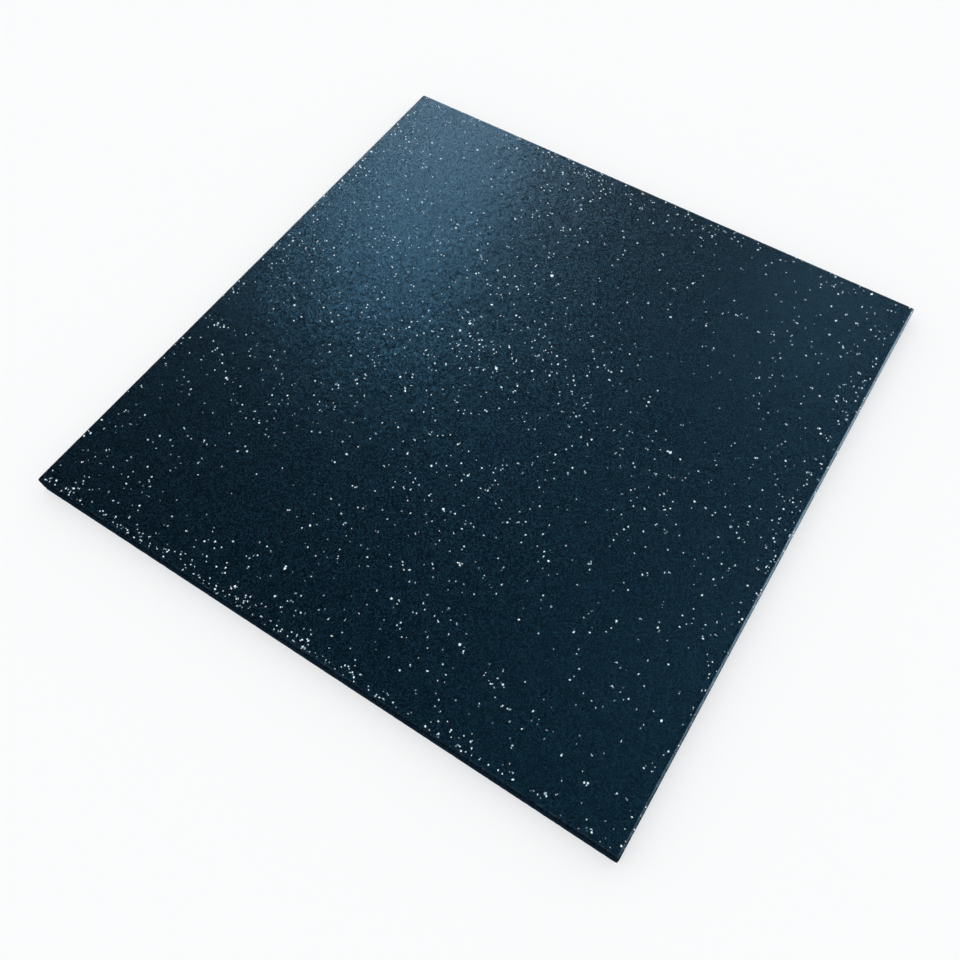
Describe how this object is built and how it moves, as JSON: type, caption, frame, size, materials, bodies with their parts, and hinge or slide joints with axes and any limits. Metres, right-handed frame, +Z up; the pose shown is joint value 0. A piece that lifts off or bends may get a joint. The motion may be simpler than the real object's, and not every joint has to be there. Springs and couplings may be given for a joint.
{
  "type": "rubber gym floor tile",
  "caption": "Flat square rubber floor tile with a rounded rim round its flecked walking face and straight sides that butt against the next tile.",
  "frame": {"origin": "middle of the underside, on the floor", "axes": "+Z up through the thickness, +X and +Y along the sides"},
  "size_m": [0.5, 0.5, 0.015],
  "materials": {
    "rubber": "matt pressed crumb with a soft sheen",
    "fleck": "matt pale grey granule"
  },
  "bodies": {
    "root": {"rubber_tile": "rubber"}
  },
  "joints": []
}
